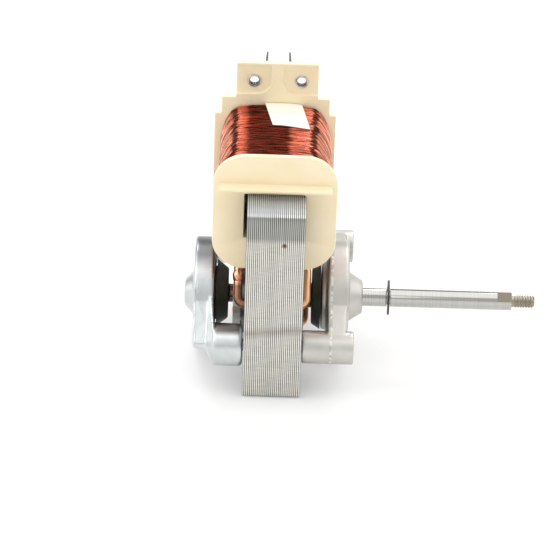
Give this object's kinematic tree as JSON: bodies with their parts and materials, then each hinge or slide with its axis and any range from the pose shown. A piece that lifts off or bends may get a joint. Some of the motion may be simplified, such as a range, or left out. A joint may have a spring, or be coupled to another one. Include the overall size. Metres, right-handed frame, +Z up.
{
  "type": "oven fan motor",
  "caption": "Shaded-pole fan motor: U-shaped laminated stator with a wound bobbin, cast bearing brackets, push-on terminals and a long shaft with a flat and a threaded end.",
  "frame": {"origin": "middle of the lamination stack's flat base, under the shaft axis", "axes": "+X along the shaft towards its threaded end, +Z up from the base to the terminals, +Y towards the terminal side"},
  "size_m": [0.1146, 0.0638, 0.1006],
  "materials": {
    "electrical_steel": "sheared lamination edges, lightly oiled",
    "bare_copper": "bare drawn copper",
    "moulded_ivory": "moulded ivory thermoplastic",
    "enamelled_copper": "red-brown enamelled wire",
    "white_paper": "matt white insulation paper",
    "tinned_brass": "tinned strip",
    "cast_bracket": "as-cast light grey",
    "sintered_bronze": "oil-filled sintered bronze",
    "oil_felt": "oil-soaked wool felt",
    "black_steel": "blackened spring steel",
    "zinc_plated_steel": "zinc plated",
    "ground_steel": "centreless ground and polished",
    "cast_aluminium": "die cast",
    "black_plastic": "black moulded bush",
    "fibre_washer": "vulcanised fibre",
    "spring_steel": "phosphated spring steel"
  },
  "bodies": {
    "stator": {"stator_yoke": "electrical_steel", "core_bar": "electrical_steel", "shading_ring_front": "bare_copper", "shading_ring_rear": "bare_copper", "bobbin": "moulded_ivory", "coil_winding": "enamelled_copper", "winding_paper": "white_paper", "terminal_left": "tinned_brass", "terminal_right": "tinned_brass", "eyelet_left": "tinned_brass", "eyelet_right": "tinned_brass", "drive_bracket": "cast_bracket", "rear_bracket": "cast_bracket", "drive_bearing": "sintered_bronze", "rear_bearing": "sintered_bronze", "drive_felt": "oil_felt", "rear_felt": "oil_felt", "drive_retainer": "black_steel", "rear_retainer": "black_steel", "through_screw_front": "zinc_plated_steel", "through_screw_rear": "zinc_plated_steel"},
    "rotor": {"shaft": "ground_steel", "rotor_core": "electrical_steel", "rotor_cage": "cast_aluminium", "spacer_bush": "black_plastic", "thrust_washer_drive": "fibre_washer", "thrust_washer_rear": "fibre_washer", "retaining_ring": "spring_steel"}
  },
  "joints": [
    {"name": "rotor_spin", "type": "hinge", "parent": "stator", "child": "rotor", "pos_m": [0, 0, 0.02], "axis": [1, 0, 0], "continuous": true}
  ]
}
